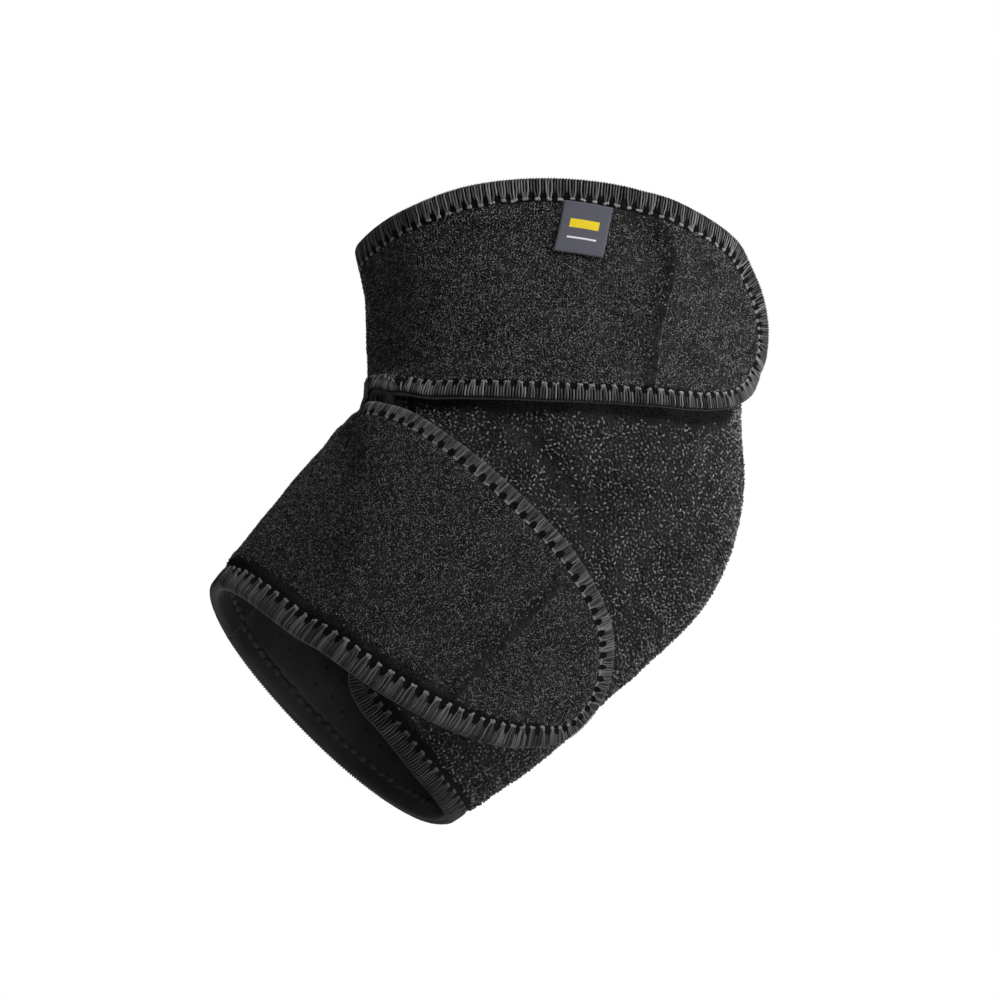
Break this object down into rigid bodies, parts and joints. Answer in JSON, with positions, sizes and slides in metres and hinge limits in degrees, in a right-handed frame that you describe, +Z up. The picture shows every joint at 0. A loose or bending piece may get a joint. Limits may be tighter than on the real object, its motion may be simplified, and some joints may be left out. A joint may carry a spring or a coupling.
{
  "type": "elbow brace",
  "caption": "Wrap-around padded elbow brace, closed round a bent arm, with a main panel, wide upper and lower straps that fasten by hook and loop, and overlocked edges.",
  "frame": {"origin": "elbow centre, where the axes of the upper arm and the forearm cross, inside the brace", "axes": "+Z up the upper arm, +X towards the elbow point, -Y towards the side where the straps end in tabs; the forearm runs along (-0.707, 0, -0.707)"},
  "size_m": [0.1578, 0.0992, 0.1762],
  "materials": {
    "base_panel": "black loop-pile neoprene, matt",
    "base_panel_edging": "black overlock thread",
    "upper_strap": "black loop-pile neoprene, matt",
    "upper_strap_edging": "black overlock thread",
    "lower_strap": "black loop-pile neoprene, matt",
    "lower_strap_edging": "black overlock thread",
    "upper_hook_patch": "black hook tape",
    "lower_hook_patch": "black hook tape",
    "woven_label": "slate woven label"
  },
  "bodies": {
    "root": {"base_panel": "base_panel", "base_panel_edging": "base_panel_edging", "upper_strap": "upper_strap", "upper_strap_edging": "upper_strap_edging", "lower_strap": "lower_strap", "lower_strap_edging": "lower_strap_edging", "upper_hook_patch": "upper_hook_patch", "lower_hook_patch": "lower_hook_patch", "woven_label": "woven_label"}
  },
  "joints": []
}
